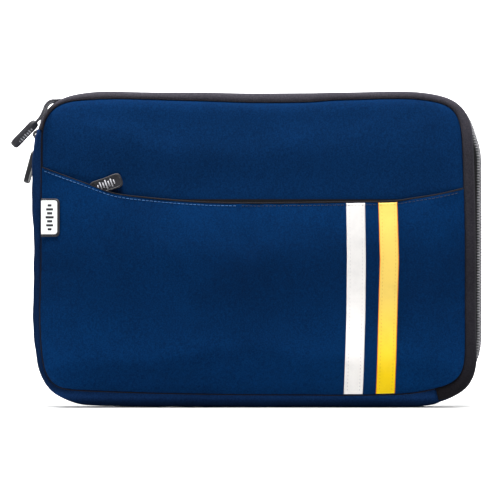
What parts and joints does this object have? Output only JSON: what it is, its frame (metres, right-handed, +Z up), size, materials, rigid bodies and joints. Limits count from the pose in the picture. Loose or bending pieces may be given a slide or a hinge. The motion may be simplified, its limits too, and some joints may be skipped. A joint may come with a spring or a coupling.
{
  "type": "laptop sleeve",
  "caption": "Padded neoprene laptop sleeve, zipped over its top and side, with a zipped front pocket, two coloured stripes and corded rubber zip pulls.",
  "frame": {"origin": "middle of the flat underside that the sleeve stands on", "axes": "+X to the right seen from the front, +Z up, the pocket side faces -Y"},
  "size_m": [0.3521, 0.0465, 0.2374],
  "materials": {
    "navy_neoprene": "matte knitted neoprene",
    "lining_fleece": "soft brushed lining",
    "charcoal_trim": "matte charcoal knit",
    "zip_tape": "woven tape",
    "zip_coil": "satin nylon coil",
    "gunmetal": "dark satin plated metal",
    "moulded_rubber": "matte moulded rubber",
    "pull_cord": "round braided cord",
    "white_tape": "smooth coated ribbon",
    "yellow_tape": "smooth coated ribbon"
  },
  "bodies": {
    "shell": {"side_gusset": "navy_neoprene", "back_panel": "navy_neoprene", "back_lining": "lining_fleece", "front_panel_lower": "navy_neoprene", "front_lining_lower": "lining_fleece", "front_trim_lower": "charcoal_trim", "back_coil": "zip_coil", "back_zip_tape": "zip_tape", "zip_back_gusset": "navy_neoprene", "front_coil_lower": "zip_coil", "front_zip_tape_lower": "zip_tape", "pocket_panel": "navy_neoprene", "pocket_lip_binding": "zip_tape", "pocket_coil_upper": "zip_coil", "pocket_coil_lower": "zip_coil", "pocket_zip_tape_upper": "zip_tape", "pocket_zip_tape_lower": "zip_tape", "white_stripe": "white_tape", "yellow_stripe": "yellow_tape", "side_label_frame": "moulded_rubber", "side_label_insert": "white_tape"},
    "top_flap": {"front_panel_flap": "navy_neoprene", "front_lining_flap": "lining_fleece", "front_trim_flap": "charcoal_trim", "front_coil_flap": "zip_coil", "front_zip_tape_flap": "zip_tape"},
    "top_slider": {"top_zip_slider": "gunmetal"},
    "top_wire": {"top_pull_wire": "gunmetal"},
    "top_tab": {"top_pull_tab": "moulded_rubber", "top_pull_cord": "pull_cord"},
    "corner_slider": {"corner_zip_slider": "gunmetal"},
    "corner_wire": {"corner_pull_wire": "gunmetal"},
    "corner_tab": {"corner_pull_tab": "moulded_rubber", "corner_pull_cord": "pull_cord"},
    "pocket_slider": {"pocket_zip_slider": "gunmetal"},
    "pocket_wire": {"pocket_pull_wire": "gunmetal"},
    "pocket_tab": {"pocket_pull_tab": "moulded_rubber", "pocket_pull_cord": "pull_cord"}
  },
  "joints": [
    {"name": "flap_fold", "type": "hinge", "parent": "shell", "child": "top_flap", "pos_m": [-0.00185, -0.012, 0.19065], "axis": [0.9974, 0, -0.0726], "range_deg": [0, 95]},
    {"name": "top_slider_run", "type": "slide", "parent": "shell", "child": "top_slider", "axis": [1, 0, 0], "range_m": [0, 0.235]},
    {"name": "top_wire_hinge", "type": "hinge", "parent": "top_slider", "child": "top_wire", "pos_m": [-0.1311, -0.001, 0.23595], "axis": [0, 1, 0], "range_deg": [0, 120]},
    {"name": "top_tab_hinge", "type": "hinge", "parent": "top_wire", "child": "top_tab", "pos_m": [-0.13941, -0.001, 0.23418], "axis": [0, 1, 0], "range_deg": [-20, 30], "deforming": ["top_pull_cord"]},
    {"name": "corner_slider_run", "type": "hinge", "parent": "shell", "child": "corner_slider", "pos_m": [-0.1348, -0.001, 0.207], "axis": [0, 1, 0], "range_deg": [0, 20]},
    {"name": "corner_wire_hinge", "type": "hinge", "parent": "corner_slider", "child": "corner_wire", "pos_m": [-0.16171, -0.001, 0.21779], "axis": [0, 1, 0], "range_deg": [0, 75]},
    {"name": "corner_tab_hinge", "type": "hinge", "parent": "corner_wire", "child": "corner_tab", "pos_m": [-0.16419, -0.001, 0.21166], "axis": [0, 1, 0], "range_deg": [0, 50]},
    {"name": "pocket_slider_run", "type": "slide", "parent": "shell", "child": "pocket_slider", "axis": [1, 0, 0], "range_m": [0, 0.25]},
    {"name": "pocket_wire_hinge", "type": "hinge", "parent": "pocket_slider", "child": "pocket_wire", "pos_m": [-0.12515, -0.01651, 0.1508], "axis": [0, 0, -1], "range_deg": [0, 3]},
    {"name": "pocket_tab_hinge", "type": "hinge", "parent": "pocket_wire", "child": "pocket_tab", "pos_m": [-0.13127, -0.01651, 0.1508], "axis": [0, 1, 0], "range_deg": [-30, 4]}
  ]
}
